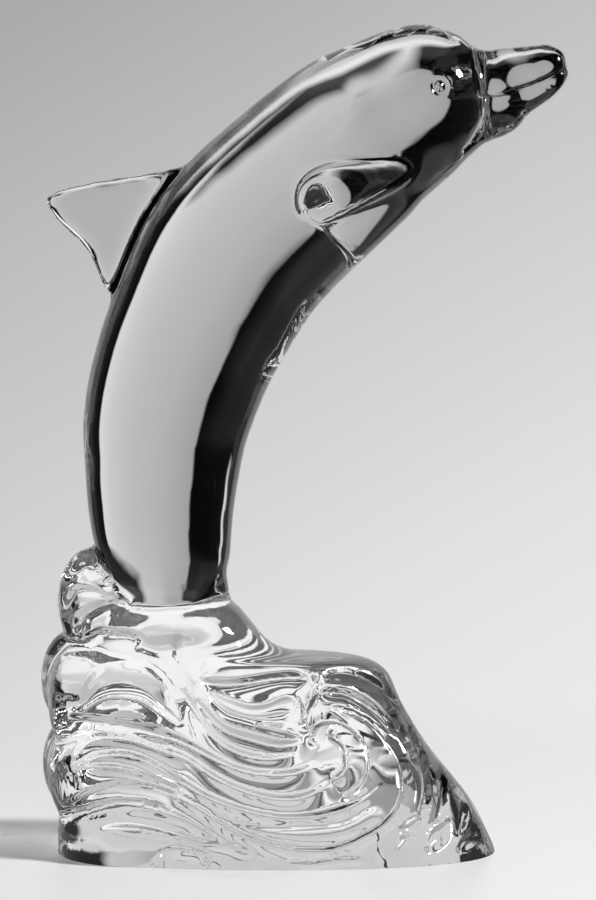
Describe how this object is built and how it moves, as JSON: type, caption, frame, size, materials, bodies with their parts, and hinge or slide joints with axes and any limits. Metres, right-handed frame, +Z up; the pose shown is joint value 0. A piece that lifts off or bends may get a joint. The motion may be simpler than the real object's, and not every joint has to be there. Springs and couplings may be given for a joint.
{
  "type": "dolphin figurine",
  "caption": "Solid clear-glass dolphin leaping out of a curling wave, pressed as one piece, standing on a flat polished foot.",
  "frame": {"origin": "middle of the flat foot, on the surface it stands on", "axes": "+Z up, +X the way the dolphin leaps, -Y towards the side that is shown first"},
  "size_m": [0.132, 0.0597, 0.2067],
  "materials": {
    "clear_glass": "polished"
  },
  "bodies": {
    "root": {"dolphin_on_wave": "clear_glass"}
  },
  "joints": []
}
